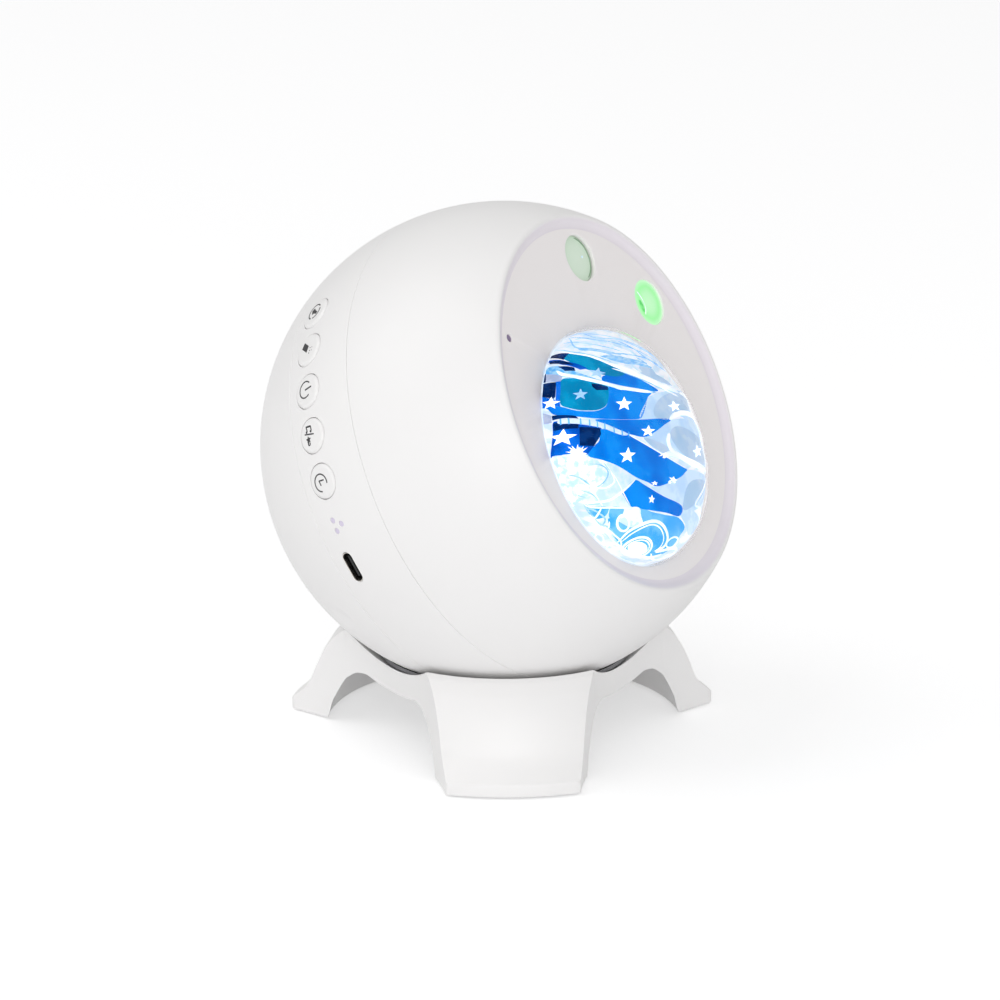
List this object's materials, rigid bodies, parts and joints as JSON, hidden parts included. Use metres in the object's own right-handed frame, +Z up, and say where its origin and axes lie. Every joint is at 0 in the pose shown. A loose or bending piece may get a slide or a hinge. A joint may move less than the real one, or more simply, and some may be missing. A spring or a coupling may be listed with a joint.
{
  "type": "galaxy projector",
  "caption": "Ball projector with a rippled clear window, laser star windows and side buttons, turning in a low stand with three arms.",
  "frame": {"origin": "bottom centre of the whole object's box, on the floor under the stand", "axes": "+Z up; the projector's face looks to -Y and a little up; +X is to the right of someone who looks at the face from the front"},
  "size_m": [0.1338, 0.1266, 0.148],
  "materials": {
    "white_abs": "warm white moulded plastic, satin",
    "face_white": "pale lilac grey moulded plastic, satin",
    "clear_polycarbonate": "clear rippled plastic, polished",
    "deep_blue": "deep blue moulded plastic",
    "green_window": "clear plastic tinted green, polished",
    "board_green": "circuit board with green mask",
    "black_plastic": "black moulded plastic",
    "plated_steel": "nickel plated steel",
    "laser_brass": "turned brass",
    "sink_aluminium": "extruded aluminium",
    "teal_paint": "teal paint over a steel can",
    "led_cream": "clear resin over pale phosphor",
    "soft_rubber": "grey silicone rubber, matte",
    "cone_paper": "pressed speaker paper, dark grey"
  },
  "bodies": {
    "stand": {"stand": "white_abs", "foot_pad_1": "soft_rubber", "foot_pad_2": "soft_rubber", "foot_pad_3": "soft_rubber"},
    "seat_ring": {"seat_ring": "soft_rubber"},
    "ball": {"front_shell": "white_abs", "face_panel": "face_white", "button_band": "white_abs", "rear_cap": "white_abs", "window_cover": "clear_polycarbonate", "optics_tub": "deep_blue", "side_switch_1": "plated_steel", "side_switch_2": "plated_steel", "side_switch_3": "plated_steel", "side_switch_4": "plated_steel", "side_switch_5": "plated_steel", "main_board": "board_green", "usb_socket": "plated_steel", "microphone": "black_plastic", "infrared_receiver": "black_plastic", "control_chip": "black_plastic", "capacitor": "black_plastic", "drum_motor": "teal_paint", "lamp_board": "face_white", "lamp_led": "led_cream", "reflector_cup": "face_white", "heat_sink": "sink_aluminium", "laser_window_left": "green_window", "laser_window_right": "green_window", "laser_barrel_left": "laser_brass", "laser_barrel_right": "laser_brass", "laser_mount": "black_plastic", "speaker_basket": "plated_steel", "speaker_cone": "cone_paper", "speaker_magnet": "plated_steel", "case_screw_1": "plated_steel", "case_screw_2": "plated_steel", "case_screw_3": "plated_steel", "tub_screw_1": "plated_steel", "tub_screw_2": "plated_steel", "tub_screw_3": "plated_steel", "tub_screw_4": "plated_steel", "motor_screw_1": "plated_steel", "motor_screw_2": "plated_steel", "laser_screw_1": "plated_steel", "laser_screw_2": "plated_steel"},
    "scene_button": {"button_scene": "white_abs", "switch_plunger_1": "black_plastic"},
    "light_button": {"button_light": "white_abs", "switch_plunger_2": "black_plastic"},
    "power_button": {"button_power": "white_abs", "switch_plunger_3": "black_plastic"},
    "mode_button": {"button_mode": "white_abs", "switch_plunger_4": "black_plastic"},
    "timer_button": {"button_timer": "white_abs", "switch_plunger_5": "black_plastic"},
    "drum": {"ripple_drum": "clear_polycarbonate"},
    "pinion": {"motor_pinion": "face_white"}
  },
  "joints": [
    {"name": "seat_swivel", "type": "hinge", "parent": "stand", "child": "seat_ring", "pos_m": [-0.00001, -0.00362, 0.08113], "axis": [0, 0, 1], "continuous": true},
    {"name": "ball_tilt", "type": "hinge", "parent": "seat_ring", "child": "ball", "pos_m": [-0.00001, -0.00362, 0.08113], "axis": [-0.9992, 0.041, 0], "range_deg": [-20, 64]},
    {"name": "scene_press", "type": "slide", "parent": "ball", "child": "scene_button", "axis": [0.5674, -0.3757, -0.7327], "range_m": [0, 0.0005], "stiffness_N_per_m": 1500, "springref_m": -0.0005},
    {"name": "light_press", "type": "slide", "parent": "ball", "child": "light_button", "axis": [0.7154, -0.3265, -0.6178], "range_m": [0, 0.0005], "stiffness_N_per_m": 1500, "springref_m": -0.0005},
    {"name": "power_press", "type": "slide", "parent": "ball", "child": "power_button", "axis": [0.8365, -0.265, -0.4796], "range_m": [0, 0.0005], "stiffness_N_per_m": 1500, "springref_m": -0.0005},
    {"name": "mode_press", "type": "slide", "parent": "ball", "child": "mode_button", "axis": [0.9262, -0.1936, -0.3235], "range_m": [0, 0.0005], "stiffness_N_per_m": 1500, "springref_m": -0.0005},
    {"name": "timer_press", "type": "slide", "parent": "ball", "child": "timer_button", "axis": [0.9812, -0.1149, -0.1552], "range_m": [0, 0.0005], "stiffness_N_per_m": 1500, "springref_m": -0.0005},
    {"name": "drum_spin", "type": "hinge", "parent": "ball", "child": "drum", "pos_m": [-0.00907, -0.02596, 0.08009], "axis": [-0.037, -0.9005, 0.4332], "continuous": true},
    {"name": "pinion_spin", "type": "hinge", "parent": "ball", "child": "pinion", "pos_m": [0.00758, -0.0173, 0.0995], "axis": [-0.037, -0.9005, 0.4332], "continuous": true}
  ],
  "couplings": [
    {"joint": "pinion_spin", "follows": "drum_spin", "ratio": -4.4}
  ]
}
